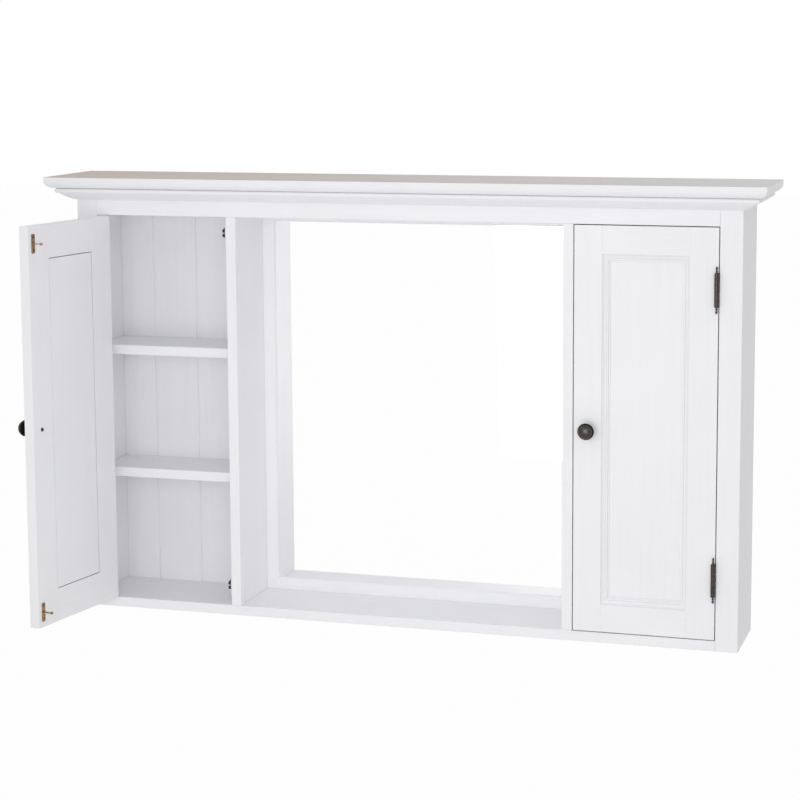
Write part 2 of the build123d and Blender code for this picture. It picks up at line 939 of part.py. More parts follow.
def catch_block():
    """The wooden block that spaces the upper and lower catch off the partition."""
    half = catch_plate_height / 2
    return [
        block(
            catch_x + catch_span(), partition_left,
            roller_depth - roller_radius, pivot_y + catch_back_gap + catch_plate_thickness,
            level - half, level + half,
        )
        for level in catch_levels.values()
    ]


def catch_screws(level, make):
    """Screws, or their holes, that fix one catch to its block and the partition."""
    x = catch_x + catch_span() - catch_plate_thickness
    return [
        make(
            x, roller_depth + arm_length * 0.35, level + k * catch_screw_spacing / 2,
            (1, 0, 0), catch_screw_length,
        )
        for k in (-1, 1)
    ]


def catch_body(level):
    """The folded steel body of a catch: base plate, rear web and outer cheek."""
    span = catch_span()
    t = catch_plate_thickness
    half = catch_plate_height / 2
    cheek_half = pivot_rise + cheek_radius + 1.0
    front = roller_depth - roller_radius
    rear = pivot_y + catch_back_gap
    base = block(catch_x + span - t, catch_x + span, front, rear + t, level - half, level + half)
    web = block(catch_x - span, catch_x + span, rear, rear + t, level - cheek_half, level + cheek_half)
    outer = block(
        catch_x - span, catch_x - span + t,
        pivot_y - cheek_radius - 2, rear + t,
        level - cheek_half, level + cheek_half,
    )
    body = base + web + outer
    bores = [
        rod(catch_x - span - 1, pivot_y, level + side * pivot_rise, pivot_radius, 2 * span + 2, (1, 0, 0))
        for side in (-1, 1)
    ]
    return cut(cut(body, bores), catch_screws(level, screw_hole))


def catch_pivot(level, side):
    """The pivot pin of one arm, riveted in the catch body."""
    span = catch_span()
    return rod(catch_x - span, pivot_y, level + side * pivot_rise, pivot_radius, 2 * span, (1, 0, 0))


def catch_arm(level, side):
    """One sprung arm: two cheeks and a bridge, its roller on an axle, and its coil spring."""
    roller_z = level + side * roller_rise
    pivot_z = level + side * pivot_rise
    inner = roller_length / 2 + cheek_gap
    cheeks = []
    for x in (catch_x - inner - cheek_thickness, catch_x + inner):
        strap = rod(x, roller_depth, roller_z, cheek_radius, cheek_thickness, (1, 0, 0))
        strap = strap + rod(x, pivot_y, pivot_z, cheek_radius, cheek_thickness, (1, 0, 0))
        middle_points = [
            (x, roller_depth, roller_z - cheek_radius),
            (x, pivot_y, pivot_z - cheek_radius),
            (x, pivot_y, pivot_z + cheek_radius),
            (x, roller_depth, roller_z + cheek_radius),
        ]
        strap = strap + extrude(
            make_face(Polyline(*middle_points, close=True)), amount=cheek_thickness, dir=(1, 0, 0)
        )
        cheeks.append(strap)
    bridge = block(
        catch_x - inner - cheek_thickness, catch_x + inner + cheek_thickness,
        roller_depth + roller_radius + 2.0, pivot_y - spring_radius - 1.5,
        -0.5, 0.5,
    )
    bridge_rise = (roller_rise + pivot_rise) / 2 + 1.2
    frame = cheeks[0] + cheeks[1] + Pos(0, 0, level + side * bridge_rise) * bridge
    bore = rod(
        catch_x - inner - 2, pivot_y, pivot_z,
        pivot_radius + pivot_clearance, 2 * inner + 4, (1, 0, 0),
    )
    axle_hole = rod(catch_x - inner - 2, roller_depth, roller_z, arm_axle_radius, 2 * inner + 4, (1, 0, 0))
    frame = frame - bore - axle_hole
    axle_length = 2 * (inner + cheek_thickness)
    axle = rod(catch_x - axle_length / 2, roller_depth, roller_z, arm_axle_radius, axle_length, (1, 0, 0))
    roller = rod(
        catch_x - roller_length / 2, roller_depth, roller_z, roller_radius, roller_length, (1, 0, 0)
    )
    roller = fillet(roller.edges().filter_by(GeomType.CIRCLE), 0.5)
    roller = roller - rod(
        catch_x - roller_length, roller_depth, roller_z,
        arm_axle_radius + roller_bore_clearance, 2 * roller_length, (1, 0, 0),
    )
    spring = rod(catch_x - inner + 0.2, pivot_y, pivot_z, spring_radius, 2 * inner - 0.4, (1, 0, 0))
    spring = spring - rod(catch_x - inner - 1, pivot_y, pivot_z, pivot_radius + 0.3, 2 * inner + 2, (1, 0, 0))
    return [frame, axle, roller, spring]


def door_parts(knob_level):
    """Every piece of a door, shut and hung on the left, by its short name."""
    leaf_holes = [h for z in hinge_levels.values() for h in leaf_screws(z, True, screw_hole)]
    leaf_holes += [r for z in hinge_levels.values() for r in leaf_recess(z, True)]
    strike_holes = [h for z in catch_levels.values() for h in strike_screws(z, screw_hole)]
    hinge_side = cut(door_stile(True), leaf_holes)
    knob_side = cut(door_stile(False), strike_holes + [knob_hole(knob_level)])
    screws = [s for z in hinge_levels.values() for s in leaf_screws(z, True, countersunk)]
    screws += [s for z in catch_levels.values() for s in strike_screws(z, countersunk)]
    return {
        "hinge_stile": [hinge_side],
        "knob_stile": [knob_side],
        "top_rail": [door_rail(True)],
        "bottom_rail": [door_rail(False)],
        "panel": [door_panel()],
        "moulding": door_moulding(),
        "hinge_leaves": [hinge_leaf(z, True) for z in hinge_levels.values()],
        "screws": screws,
        "strikes": [strike(z) for z in catch_levels.values()],
        "knob": [knob(knob_level), knob_screw(knob_level)],
    }


def both_sides(solids):
    """The left solids with their mirror images."""
    return list(solids) + [mirror(solid, about=mirrored) for solid in solids]


def case_nodes():
    """The fixed pieces by node name."""
    frame_leaf_holes = [h for z in hinge_levels.values() for h in leaf_screws(z, False, screw_hole)]
    frame_leaf_holes += [r for z in hinge_levels.values() for r in leaf_recess(z, False)]
    catch_holes = [h for z in catch_levels.values() for h in catch_screws(z, screw_hole)]
    left = {
        "side_panel": [side_panel()],
        "partition": [cut(partition(), catch_holes)],
        "stile": [cut(stile(), frame_leaf_holes)],
        "back_boards": back_boards(),
        "crown_return": [crown_return()],
        "shelf_lower": [shelf(shelf_tops[0])],
        "shelf_upper": [shelf(shelf_tops[1])],
    }
    nodes = {}
    for name, solids in left.items():
        nodes[name + "_left"] = solids
        nodes[name + "_right"] = [mirror(solid, about=mirrored) for solid in solids]
    inner = half_width - side_thickness
    nodes["floor_board"] = [floor_board()]
    nodes["ceiling_board"] = [
        block(
            -inner, inner, face_thickness, case_depth,
            ceiling_underside, ceiling_underside + ceiling_thickness,
        )
    ]
    nodes["top_board"] = [block(-half_width, half_width, 0, case_depth, top_board_under, total_height)]
    nodes["back_rail"] = [
        block(
            -inner, inner, case_depth - back_rail_thickness, case_depth,
            ceiling_underside + ceiling_thickness, top_board_under,
        )
    ]
    nodes["top_rail"] = [rail(rail_levels()[1], opening_top)]
    nodes["crown_front"] = [crown_front()]
    nodes["hanging_battens"] = both_sides([batten()])
    nodes["mirror_frame_stiles"] = both_sides([mirror_frame_stile()])
    nodes["mirror_frame_rails"] = [mirror_frame_rail(True), mirror_frame_rail(False)]
    glass_front = mirror_face + mirror_lip
    nodes["mirror_glass"] = [mirror_pane(glass_front, glass_thickness)]
    nodes["mirror_backing"] = [mirror_pane(glass_front + glass_thickness, backing_thickness)]
    nodes["mirror_pins"] = mirror_pins()
    nodes["mirror_frame_stiles"] = [cut(s, mirror_pins()) for s in nodes["mirror_frame_stiles"]]
    nodes["mirror_frame_rails"] = [cut(s, mirror_pins()) for s in nodes["mirror_frame_rails"]]
    nodes["hinge_frame_leaves"] = both_sides([hinge_leaf(z, False) for z in hinge_levels.values()])
    nodes["hinge_pins"] = both_sides([hinge_pin(z) for z in hinge_levels.values()])
    nodes["catch_blocks"] = both_sides([cut(b, catch_holes) for b in catch_block()])
    bodies = [catch_body(z) for z in catch_levels.values()]
    pivots = [catch_pivot(z, side) for z in catch_levels.values() for side in (-1, 1)]
    nodes["catch_bodies"] = both_sides(bodies + pivots)
    frame_screws = [s for z in hinge_levels.values() for s in leaf_screws(z, False, countersunk)]
    frame_screws += [s for z in catch_levels.values() for s in catch_screws(z, countersunk)]
    nodes["case_screws"] = both_sides(frame_screws)
    return nodes


def moving_nodes():
    """The doors and the catch arms by node name."""
    nodes = {}
    axis = Axis((hinge_x, hinge_y, 0), (0, 0, 1))
    for name, solids in door_parts(knob_levels["left"]).items():
        nodes["door_left_" + name] = [solid.rotate(axis, -left_door_open) for solid in solids]
    for name, solids in door_parts(knob_levels["right"]).items():
        nodes["door_right_" + name] = [mirror(solid, about=mirrored) for solid in solids]
    for place, level in catch_levels.items():
        for word, side in (("top", 1), ("bottom", -1)):
            solids = catch_arm(level, side)
            nodes[f"catch_arm_left_{place}_{word}"] = solids
            nodes[f"catch_arm_right_{place}_{word}"] = [mirror(s, about=mirrored) for s in solids]
    return nodes


def main():
    """Makes every piece and writes one file for each node."""
    os.makedirs("parts", exist_ok=True)
    nodes = case_nodes() | moving_nodes()
    to_wall = Pos(0, -case_depth, -rail_middle)
    for name, solids in nodes.items():
        placed = [to_wall * solid for solid in solids]
        shape = placed[0] if len(placed) == 1 else Compound(children=placed)
        export_step(shape, f"parts/{name}.step")
    print(len(nodes), "nodes")


if __name__ == "__main__":
    main()
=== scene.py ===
"""Bathroom mirror cabinet of painted wood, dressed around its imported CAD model.

The case, the doors and most of the hardware are the CAD nodes with procedural finishes.
The hinge pins, the knobs and the roller catches' arms are built here in finer detail and
stand for their nodes, and spear heads are added to the strikes. Lengths in the classes are
millimetres in the cabinet's own frame: x from its middle, y from the wall (so the front is
negative) and z from the origin on the wall.
"""
import logging
import math
from dataclasses import dataclass, field
from enum import Enum

import bmesh
import bpy
from mathutils import Matrix, Vector


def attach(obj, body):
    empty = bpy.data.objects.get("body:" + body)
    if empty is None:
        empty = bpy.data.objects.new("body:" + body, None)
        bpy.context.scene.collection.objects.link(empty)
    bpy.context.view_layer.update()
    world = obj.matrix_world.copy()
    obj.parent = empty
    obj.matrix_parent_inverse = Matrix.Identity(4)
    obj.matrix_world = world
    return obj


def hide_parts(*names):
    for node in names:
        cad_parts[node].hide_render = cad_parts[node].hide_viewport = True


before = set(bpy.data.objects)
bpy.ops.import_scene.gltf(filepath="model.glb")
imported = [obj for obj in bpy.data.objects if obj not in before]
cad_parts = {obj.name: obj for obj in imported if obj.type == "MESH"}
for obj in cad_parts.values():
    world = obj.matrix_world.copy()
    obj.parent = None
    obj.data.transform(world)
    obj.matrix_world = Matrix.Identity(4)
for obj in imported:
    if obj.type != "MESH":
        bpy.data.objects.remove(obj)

log = logging.getLogger("cabinet")

MM = 0.001
WALL_PLANE = 0.0
TOP_FACE = 34.0
LEFT_DOOR_TURN = 99.6
HINGE_X = 671.0
HINGE_Y = -192.5
CATCH_X = 396.5
CATCH_LEVELS = {"upper": -87.0, "lower": -861.0}
HALF_WIDTH = 775.0
ORIGIN_RISE = 916.0
EVEN = (1.0, 1.0, 1.0)
UP = Vector((0.0, 0.0, 1.0))
ACROSS = Vector((1.0, 0.0, 0.0))
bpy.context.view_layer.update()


class Grain(Enum):
    """Which way a board's grain runs, as the stretch of a pattern along x, y and z."""

    UPRIGHT = (1.0, 1.0, 0.03)
    ALONG = (0.03, 1.0, 1.0)
    INTO_WALL = (1.0, 0.03, 1.0)


class Side(Enum):
    """The cabinet's two halves: a name and the sign of x."""

    LEFT = ("left", 1)
    RIGHT = ("right", -1)


def rgb(code: str) -> tuple[float, float, float, float]:
    """Turns an sRGB hex colour into the linear values that a shader takes.

    Args:
        code: six hex digits after a hash.

    Returns:
        Linear red, green, blue and an alpha of one.
    """
    channels = [int(code[i : i + 2], 16) / 255 for i in (1, 3, 5)]
    linear = [c / 12.92 if c <= 0.04045 else ((c + 0.055) / 1.055) ** 2.4 for c in channels]
    return (*linear, 1.0)


def node(
    tree: bpy.types.NodeTree,
    kind: str,
    settings: dict | None = None,
    values: dict | None = None,
    links: dict | None = None,
) -> bpy.types.Node:
    """Adds a shader node with its settings and links.

    Args:
        tree: the material's or the world's node tree.
        kind: the node's type.
        settings: its properties by name.
        values: socket values by name or index.
        links: sockets to feed by name or index, each with the output that feeds it.

    Returns:
        The new node.
    """
    made = tree.nodes.new(kind)
    for name, value in (settings or {}).items():
        setattr(made, name, value)
    for socket, value in (values or {}).items():
        made.inputs[socket].default_value = value
    for socket, source in (links or {}).items():
        tree.links.new(source, made.inputs[socket])
    return made


def fresh_material(name: str) -> tuple[bpy.types.Material, bpy.types.NodeTree, bpy.types.Node]:
    """Makes an empty material.

    Args:
        name: the finish's name.

    Returns:
        The material, its node tree and its output node.
    """
    material = bpy.data.materials.new(name)
    material.use_nodes = True
    tree = material.node_tree
    tree.nodes.clear()
    output = tree.nodes.new("ShaderNodeOutputMaterial")
    return material, tree, output


def stretched(
    tree: bpy.types.NodeTree, coordinates: bpy.types.NodeSocket, size: float, stretch: tuple
) -> bpy.types.NodeSocket:
    """Scales coordinates so that one unit of a pattern is a real size.

    Args:
        tree: the node tree.
        coordinates: the object coordinates in metres.
        size: the pattern's feature across the grain, in millimetres.
        stretch: the pattern's scale along x, y and z.

    Returns:
        The scaled coordinates.
    """
    scale = [s / (size * MM) for s in stretch]
    mapping = node(
        tree, "ShaderNodeMapping", values={"Scale": scale}, links={"Vector": coordinates}
    )
    return mapping.outputs[0]


def noise(
    tree: bpy.types.NodeTree,
    places: bpy.types.NodeSocket,
    detail: float,
    roughness: float,
    distortion: float = 0.0,
) -> bpy.types.NodeSocket:
    """Adds a noise pattern whose coordinates already carry its size.

    Args:
        tree: the node tree.
        places: the scaled coordinates.
        detail: how many finer layers it has.
        roughness: how strong the finer layers are.
        distortion: how far it swirls.

    Returns:
        The pattern, from zero to one.
    """
    values = {"Scale": 1.0, "Detail": detail, "Roughness": roughness, "Distortion": distortion}
    made = node(tree, "ShaderNodeTexNoise", values=values, links={"Vector": places})
    return made.outputs["Fac"]


def ranged(
    tree: bpy.types.NodeTree,
    value: bpy.types.NodeSocket,
    source: tuple[float, float],
    target: tuple[float, float] = (0.0, 1.0),
) -> bpy.types.NodeSocket:
    """Carries a value from one range to another and holds it inside.

    Args:
        tree: the node tree.
        value: what is carried over.
        source: where it starts and ends.
        target: what those two become.

    Returns:
        The new value.
    """
    names = ("From Min", "From Max", "To Min", "To Max")
    values = dict(zip(names, (*source, *target)))
    return node(tree, "ShaderNodeMapRange", values=values, links={"Value": value}).outputs[0]


def blend(
    tree: bpy.types.NodeTree,
    share: bpy.types.NodeSocket,
    under: tuple | bpy.types.NodeSocket,
    over: tuple | bpy.types.NodeSocket,
) -> bpy.types.NodeSocket:
    """Mixes two colours, each a constant or another node's output.

    Args:
        tree: the node tree.
        share: how much of the second one shows.
        under: the first colour.
        over: the second colour.

    Returns:
        The mixed colour.
    """
    values, links = {}, {0: share}
    for socket, colour in ((6, under), (7, over)):
        chosen = values if isinstance(colour, tuple) else links
        chosen[socket] = colour
    return node(tree, "ShaderNodeMix", {"data_type": "RGBA"}, values, links).outputs[2]


def edge_mask(
    tree: bpy.types.NodeTree, radius: float
) -> tuple[bpy.types.NodeSocket, bpy.types.NodeSocket]:
    """Finds a piece's edges from how far a rounded normal leans off the true one.

    Args:
        tree: the node tree.
        radius: how far the edge reaches, in millimetres.

    Returns:
        A mask that is one on an edge, and the rounded normal.
    """
    rounded = node(
        tree, "ShaderNodeBevel", settings={"samples": 4}, values={"Radius": radius * MM}
    )
    shape = node(tree, "ShaderNodeNewGeometry")
    lean = node(
        tree,
        "ShaderNodeVectorMath",
        settings={"operation": "DOT_PRODUCT"},
        links={0: rounded.outputs[0], 1: shape.outputs["Normal"]},
    )
    mask = ranged(tree, lean.outputs["Value"], (0.995, 0.80))
    return mask, rounded.outputs[0]


@dataclass(frozen=True)
class PaintedWood:
    """Satin oil paint brushed on softwood boards: grain shows through faintly, arrises are thin,
    crevices carry painted shade and a dusty top carries painted light from the right.
    """

    name: str
    grain: Grain = Grain.UPRIGHT
    turn: float = 0.0
    paint: str = "#f7f7fa"
    shade: str = "#f3f3f6"
    undercoat: str = "#d8d4cd"
    # Grey used as painted shade in crevices, gaps and quirks.
    crevice_shade: str = "#8f8c8a"
    worn: float = 0.3
    raw_back: bool = True
    dusty_top_with_painted_light: bool = False

    def build(self) -> bpy.types.Material:
        """Makes the material.

        Returns:
            The finish, ready for its pieces.
        """
        material, tree, output = fresh_material(self.name)
        places = node(tree, "ShaderNodeTexCoord").outputs["Object"]
        turned = node(
            tree,
            "ShaderNodeMapping",
            values={"Rotation": (0.0, 0.0, math.radians(self.turn))},
            links={"Vector": places},
        ).outputs[0]
        stretch = self.grain.value
        grain = noise(tree, stretched(tree, turned, 7.0, stretch), 4.0, 0.6, 0.4)
        bristles = noise(tree, stretched(tree, turned, 1.6, stretch), 2.0, 0.55)
        clouds = noise(tree, stretched(tree, turned, 140.0, EVEN), 2.0, 0.5)
        tone = node(
            tree,
            "ShaderNodeMath",
            settings={"operation": "MULTIPLY"},
            links={0: grain, 1: clouds},
        )
        spread = ranged(tree, tone.outputs[0], (0.12, 0.42))
        colour = blend(tree, spread, rgb(self.paint), rgb(self.shade))
        edges, rounded = edge_mask(tree, 0.9)
        chips = noise(tree, stretched(tree, turned, 9.0, EVEN), 5.0, 0.7)
        sparse = ranged(tree, chips, (0.56, 0.68), (0.0, self.worn))
        wear = node(
            tree,
            "ShaderNodeMath",
            settings={"operation": "MULTIPLY"},
            links={0: edges, 1: sparse},
        )
        colour = blend(tree, wear.outputs[0], colour, rgb(self.undercoat))
        # Painted shade: where the ambient-occlusion node finds the surface closed in within 2.5 mm,
        # the paint is blended toward grey, standing in for the shade in gaps, quirks and panel
        # joints.
        open_air = node(
            tree,
            "ShaderNodeAmbientOcclusion",
            settings={"samples": 4, "only_local": False},
            values={"Distance": 2.5 * MM},
        )
        crevice_shade_share = ranged(tree, open_air.outputs["AO"], (0.45, 0.05), (0.0, 0.8))
        colour = blend(tree, crevice_shade_share, colour, rgb(self.crevice_shade))
        # The top face: dust, with painted light that grows toward the right end.
        if self.dusty_top_with_painted_light:
            colour = self._cover(tree, places, colour, "Z", TOP_FACE, self._dust_and_painted_side_light(tree, turned))
        if self.raw_back:
            colour = self._cover(tree, places, colour, "Y", WALL_PLANE, self._bare(tree, turned))
        gloss = ranged(tree, bristles, (0.0, 1.0), (0.40, 0.52))
        height = node(
            tree,
            "ShaderNodeMath",
            settings={"operation": "MULTIPLY_ADD"},
            values={1: 0.35},
            links={0: bristles, 2: grain},
        )
        bump = node(
            tree,
            "ShaderNodeBump",
            values={"Strength": 0.14, "Distance": 0.05 * MM},
            links={"Height": height.outputs[0], "Normal": rounded},
        )
        shader = node(
            tree,
            "ShaderNodeBsdfPrincipled",
            values={"IOR": 1.5, "Specular IOR Level": 0.42},
            links={
                "Base Color": colour,
                "Roughness": gloss,
                "Normal": bump.outputs[0],
            },
        )
        tree.links.new(shader.outputs[0], output.inputs["Surface"])
        return material

    def _cover(
        self,
        tree: bpy.types.NodeTree,
        places: bpy.types.NodeSocket,
        colour: bpy.types.NodeSocket,
        axis: str,
        level: float,
        over: bpy.types.NodeSocket,
    ) -> bpy.types.NodeSocket:
        """Lays another colour on the face that lies at a level of one axis.

        Args:
            tree: the node tree.
            places: the object coordinates.
            colour: what the face shows elsewhere.
            axis: the axis's letter.
            level: where the face lies on it, in millimetres.
            over: the colour on that face.

        Returns:
            The mixed colour.
        """
        parts = node(tree, "ShaderNodeSeparateXYZ", links={0: places})
        near = ranged(tree, parts.outputs[axis], ((level - 0.5) * MM, (level - 0.2) * MM))
        return blend(tree, near, colour, over)

    def _dust_and_painted_side_light(self, tree: bpy.types.NodeTree, turned: bpy.types.NodeSocket) -> bpy.types.NodeSocket:
        """The unpainted, dusty top: a grey-brown that varies in wide patches, and that grows paler
        from left to right as painted light falling from the right.

        Args:
            tree: the node tree.
            turned: the coordinates along the board.

        Returns:
            The colour.
        """
        patches = noise(tree, stretched(tree, turned, 60.0, (0.06, 1.6, 1.0)), 5.0, 0.6)
        parts = node(tree, "ShaderNodeSeparateXYZ", links={0: turned})
        # Painted light: the top goes from a grey-brown at its left end to a pale grey at its right,
        # as if lit from the right.
        along = ranged(tree, parts.outputs["X"], (-HALF_WIDTH * MM, HALF_WIDTH * MM))
        painted_light_across = blend(tree, along, rgb("#d2bfb2"), rgb("#ecebea"))
        return node(
            tree,
            "ShaderNodeMix",
            settings={"data_type": "RGBA", "blend_type": "MULTIPLY"},
            values={0: 0.30},
            links={6: painted_light_across, 7: patches},
        ).outputs[2]

    def _bare(self, tree: bpy.types.NodeTree, turned: bpy.types.NodeSocket) -> bpy.types.NodeSocket:
        """The unpainted wall side: planed pine with darker late-wood lines.

        Args:
            tree: the node tree.
            turned: the coordinates along the board.

        Returns:
            The colour.
        """
        lines = noise(tree, stretched(tree, turned, 9.0, self.grain.value), 3.0, 0.6, 1.2)
        ramp = ranged(tree, lines, (0.38, 0.62))
        return blend(tree, ramp, rgb("#d6bb92"), rgb("#c5a477"))


@dataclass(frozen=True)
class Metal:
    """Cast, turned or pressed metal whose edges are rubbed brighter than its faces."""

    name: str
    face: str
    patina: str
    rubbed: str
    roughness: float = 0.35
    metallic: float = 1.0
    grit: float = 2.0
    patch: float = 5.0
    wear: float = 0.6
    lacquer: float = 0.0

    def build(self) -> bpy.types.Material:
        """Makes the material.

        Returns:
            The finish, ready for its pieces.
        """
        material, tree, output = fresh_material(self.name)
        places = node(tree, "ShaderNodeTexCoord").outputs["Object"]
        blotches = noise(tree, stretched(tree, places, self.patch, EVEN), 5.0, 0.65)
        grit = noise(tree, stretched(tree, places, self.grit, EVEN), 3.0, 0.6)
        patches = ranged(tree, blotches, (0.40, 0.66))
        colour = blend(tree, patches, rgb(self.face), rgb(self.patina))
        edges, rounded = edge_mask(tree, 0.35)
        rub = node(
            tree,
            "ShaderNodeMath",
            settings={"operation": "MULTIPLY"},
            values={1: self.wear},
            links={0: edges},
        )
        colour = blend(tree, rub.outputs[0], colour, rgb(self.rubbed))
        gloss = ranged(tree, grit, (0.0, 1.0), (self.roughness - 0.08, self.roughness + 0.10))
        bump = node(
            tree,
            "ShaderNodeBump",
            values={"Strength": 0.3, "Distance": 0.04 * MM},
            links={"Height": grit, "Normal": rounded},
        )
        shader = node(
            tree,
            "ShaderNodeBsdfPrincipled",
            values={
                "Metallic": self.metallic,
                "Coat Weight": self.lacquer,
                "Coat Roughness": 0.18,
            },
            links={
                "Base Color": colour,
                "Roughness": gloss,
                "Normal": bump.outputs[0],
            },
        )
        tree.links.new(shader.outputs[0], output.inputs["Surface"])
        return material


@dataclass(frozen=True)
class SilveredGlass:
    """A silvered mirror pane: it reflects nearly all light, without colour."""

    name: str = "silvered_glass"
    silver: str = "#ffffff"

    def build(self) -> bpy.types.Material:
        """Makes the material.

        Returns:
            The finish, ready for its pieces.
        """
        material, tree, output = fresh_material(self.name)
        places = node(tree, "ShaderNodeTexCoord").outputs["Object"]
        film = noise(tree, stretched(tree, places, 90.0, EVEN), 4.0, 0.6)
        gloss = ranged(tree, film, (0.45, 0.75), (0.0, 0.03))
        shader = node(
            tree,
            "ShaderNodeBsdfPrincipled",
            values={"Base Color": rgb(self.silver), "Metallic": 1.0},
            links={"Roughness": gloss},
        )
        tree.links.new(shader.outputs[0], output.inputs["Surface"])
        return material


@dataclass(frozen=True)
class Hardboard:
    """Pressed wood fibre, brown, with a fine fleck."""

    name: str = "hardboard"
    fibre: str = "#8a6744"
    fleck: str = "#5f432a"

    def build(self) -> bpy.types.Material:
        """Makes the material.

        Returns:
            The finish, ready for its pieces.
        """
        material, tree, output = fresh_material(self.name)
        places = node(tree, "ShaderNodeTexCoord").outputs["Object"]
        flecks = noise(tree, stretched(tree, places, 4.0, EVEN), 6.0, 0.75)
        spread = ranged(tree, flecks, (0.35, 0.7))
        colour = blend(tree, spread, rgb(self.fibre), rgb(self.fleck))
        bump = node(
            tree,
            "ShaderNodeBump",
            values={"Strength": 0.4, "Distance": 0.1 * MM},
            links={"Height": flecks},
        )
        shader = node(
            tree,
            "ShaderNodeBsdfPrincipled",
            values={"Roughness": 0.75},
            links={"Base Color": colour, "Normal": bump.outputs[0]},
        )
        tree.links.new(shader.outputs[0], output.inputs["Surface"])
        return material


@dataclass(frozen=True)
class BlackNylon:
    """Moulded black nylon with a dull sheen and scuffed edges."""

    name: str = "black_nylon"
    body: str = "#161618"
    scuff: str = "#3a3a3c"

    def build(self) -> bpy.types.Material:
        """Makes the material.

        Returns:
            The finish, ready for its pieces.
        """
        material, tree, output = fresh_material(self.name)
        places = node(tree, "ShaderNodeTexCoord").outputs["Object"]
        scuffs = noise(tree, stretched(tree, places, 1.2, (0.3, 1.0, 1.0)), 4.0, 0.6)
        edges, rounded = edge_mask(tree, 0.3)
        worn = node(
            tree,
            "ShaderNodeMath",
            settings={"operation": "MULTIPLY"},
            links={0: edges, 1: scuffs},
        )
        colour = blend(tree, worn.outputs[0], rgb(self.body), rgb(self.scuff))
        bump = node(
            tree,
            "ShaderNodeBump",
            values={"Strength": 0.2, "Distance": 0.03 * MM},
            links={"Height": scuffs, "Normal": rounded},
        )
        shader = node(
            tree,
            "ShaderNodeBsdfPrincipled",
            values={"Roughness": 0.42},
            links={"Base Color": colour, "Normal": bump.outputs[0]},
        )
        tree.links.new(shader.outputs[0], output.inputs["Surface"])
        return material


BRONZE = Metal("oil_rubbed_bronze", "#4d4541", "#332c29", "#9a857a", roughness=0.34, lacquer=0.3)
DOME = Metal("bronze_knob_dome", "#474340", "#343030", "#857b72", roughness=0.2, lacquer=0.4)
# Near-black bronze for the knobs' waist, rim and groove: a painted dark reflection, not a blackened
# finish.
DARK_REFLECTION_RIM = Metal("bronze_rim_painted_dark_reflection", "#171312", "#0f0c0b", "#2e2926", roughness=0.3, lacquer=0.2)
BRASS = Metal("aged_brass_plate", "#c29c78", "#4a3b2c", "#dcc0a2", roughness=0.36, patch=3.0)
ZINC = Metal("zinc_plated_steel", "#e4e5e6", "#cfd1d2", "#f2f2f2", roughness=0.45)
SPRING_STEEL = Metal("spring_steel", "#8f9193", "#77797b", "#b5b7b8", roughness=0.32)
SCREW_STEEL = Metal("dark_screw_steel", "#57504a", "#3f3934", "#8b837b", roughness=0.42)


def dress(obj: bpy.types.Object, material: bpy.types.Material) -> None:
    """Puts one material on every slot of an object.

    Args:
        obj: the piece.
        material: its finish.
    """
    if not obj.data.materials:
        obj.data.materials.append(material)
    for slot in obj.material_slots:
        slot.material = material


def finished(
    name: str, mesh: bmesh.types.BMesh, material: bpy.types.Material, smooth: float | None = 35.0
) -> bpy.types.Object:
    """Turns a bmesh into a finished object at the origin.

    Args:
        name: the piece's name.
        mesh: its shape in metres; it is freed.
        material: its finish.
        smooth: the angle in degrees under which faces shade smoothly, or none for flat faces.

    Returns:
        The object, linked to the scene.
    """
    bmesh.ops.remove_doubles(mesh, verts=mesh.verts, dist=0.002 * MM)
    bmesh.ops.recalc_face_normals(mesh, faces=mesh.faces)
    if smooth is not None:
        for face in mesh.faces:
            face.smooth = True
        for edge in mesh.edges:
            if len(edge.link_faces) == 2:
                edge.smooth = edge.calc_face_angle() < math.radians(smooth)
    data = bpy.data.meshes.new(name)
    mesh.to_mesh(data)
    mesh.free()
    obj = bpy.data.objects.new(name, data)
    bpy.context.collection.objects.link(obj)
    dress(obj, material)
    return obj


def lathe(
    profile: list[tuple[float, float]], centre: Vector, axis: Vector, steps: int = 48
) -> bmesh.types.BMesh:
    """Spins a profile round an axis.

    Args:
        profile: radius and height of each point in millimetres, from end to end of the axis.
        centre: where height zero lies, in millimetres.
        axis: the direction of height.
        steps: how many segments go round.

    Returns:
        The closed shape, in metres.
    """
    mesh = bmesh.new()
    verts = [mesh.verts.new((r * MM, 0.0, h * MM)) for r, h in profile]
    edges = [mesh.edges.new(pair) for pair in zip(verts, verts[1:])]
    bmesh.ops.spin(
        mesh,
        geom=verts + edges,
        cent=(0.0, 0.0, 0.0),
        axis=(0.0, 0.0, 1.0),
        angle=2 * math.pi,
        steps=steps,
        use_merge=True,
    )
    bmesh.ops.remove_doubles(mesh, verts=mesh.verts, dist=0.001 * MM)
    turn = UP.rotation_difference(axis).to_matrix().to_4x4()
    bmesh.ops.transform(mesh, matrix=Matrix.Translation(centre * MM) @ turn, verts=mesh.verts)
    return mesh


def door_swing(side: Side) -> Matrix:
    """The turn that carries a shut door's piece to where the door stands at rest.

    Args:
        side: which door.

    Returns:
        A turn about the left hinge axis, or none for the right door, which rests shut.
    """
    if side is Side.RIGHT:
        return Matrix.Identity(4)
    axis_point = Vector((-HINGE_X, HINGE_Y, 0.0)) * MM
    turn = Matrix.Rotation(-math.radians(LEFT_DOOR_TURN), 4, "Z")
    return Matrix.Translation(axis_point) @ turn @ Matrix.Translation(-axis_point)


